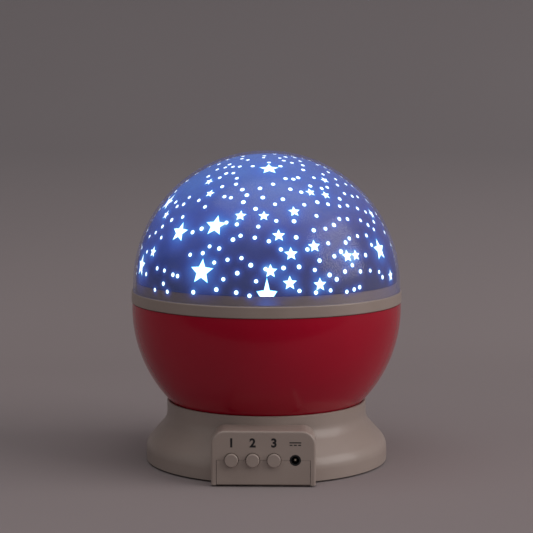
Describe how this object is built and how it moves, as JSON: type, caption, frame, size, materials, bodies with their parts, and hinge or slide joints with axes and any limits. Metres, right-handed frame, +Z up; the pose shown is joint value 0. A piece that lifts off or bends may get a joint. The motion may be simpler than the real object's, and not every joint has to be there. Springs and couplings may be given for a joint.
{
  "type": "star night light projector",
  "caption": "Night light with a flared base and console, a red globe that turns on it, and a clear dome over a star-cut mask.",
  "frame": {"origin": "on the floor under the globe's turning axis, in the centre of the outline", "axes": "+Z up along the globe's axis, the console and its buttons face -Y"},
  "size_m": [0.126, 0.126, 0.1448],
  "materials": {
    "ivory_plastic": "satin moulded ABS",
    "red_plastic": "glossy moulded ABS",
    "clear_plastic": "polished clear, slightly smoky",
    "mask_film": "dark smoky blue",
    "black_plastic": "moulded, semi-gloss",
    "white_plastic": "moulded",
    "nylon": "natural",
    "steel": "zinc plated",
    "brass": "tinned",
    "rubber": "matt",
    "board": "solder mask",
    "battery_sleeve": "printed sleeve, plain",
    "lamp_warm": "clear resin",
    "lamp_red": "tinted resin",
    "lamp_green": "tinted resin",
    "lamp_blue": "tinted resin",
    "lead": "wire insulation"
  },
  "bodies": {
    "root": {"base_housing": "ivory_plastic", "bottom_plate": "ivory_plastic", "battery_tray": "black_plastic", "batteries": "battery_sleeve", "battery_contacts": "steel", "contact_springs": "steel", "rubber_feet": "rubber", "base_screws": "steel", "centre_post": "nylon", "post_screws": "steel", "thrust_washer": "nylon", "post_washer": "nylon", "post_clip": "steel", "lamp_holder": "white_plastic", "lamp_board": "board", "lamp_warm": "lamp_warm", "lamp_red": "lamp_red", "lamp_green": "lamp_green", "lamp_blue": "lamp_blue", "lamp_lead": "lead", "gear_motor": "steel", "motor_screws": "steel", "control_board": "board", "switch_bodies": "black_plastic", "dc_jack": "black_plastic", "jack_pin": "brass"},
    "globe": {"bowl": "red_plastic", "trim_ring": "ivory_plastic", "light_tray": "white_plastic", "globe_gear": "nylon", "gear_screws": "steel"},
    "dome": {"clear_dome": "clear_plastic", "star_mask": "mask_film"},
    "pinion": {"drive_pinion": "nylon", "motor_shaft": "steel"},
    "light_key": {"button_light": "ivory_plastic", "plunger_light": "black_plastic"},
    "colour_key": {"button_colour": "ivory_plastic", "plunger_colour": "black_plastic"},
    "turn_key": {"button_turn": "ivory_plastic", "plunger_turn": "black_plastic"},
    "door": {"battery_door": "ivory_plastic"}
  },
  "joints": [
    {"name": "globe_spin", "type": "hinge", "parent": "root", "child": "globe", "pos_m": [0, 0, 0], "axis": [0, 0, 1], "continuous": true},
    {"name": "pinion_spin", "type": "hinge", "parent": "root", "child": "pinion", "pos_m": [0, 0.03, 0], "axis": [0, 0, 1], "continuous": true},
    {"name": "dome_lift", "type": "slide", "parent": "globe", "child": "dome", "axis": [0, 0, 1], "range_m": [0, 0.06]},
    {"name": "light_press", "type": "slide", "parent": "root", "child": "light_key", "axis": [0, 1, 0], "range_m": [0, 0.0008], "stiffness_N_per_m": 1500, "springref_m": -0.0004},
    {"name": "colour_press", "type": "slide", "parent": "root", "child": "colour_key", "axis": [0, 1, 0], "range_m": [0, 0.0008], "stiffness_N_per_m": 1500, "springref_m": -0.0004},
    {"name": "turn_press", "type": "slide", "parent": "root", "child": "turn_key", "axis": [0, 1, 0], "range_m": [0, 0.0008], "stiffness_N_per_m": 1500, "springref_m": -0.0004},
    {"name": "door_swing", "type": "hinge", "parent": "root", "child": "door", "pos_m": [0, 0.019, 0.0018], "axis": [1, 0, 0], "range_deg": [0, 100]}
  ],
  "couplings": [
    {"joint": "pinion_spin", "follows": "globe_spin", "ratio": -4}
  ]
}
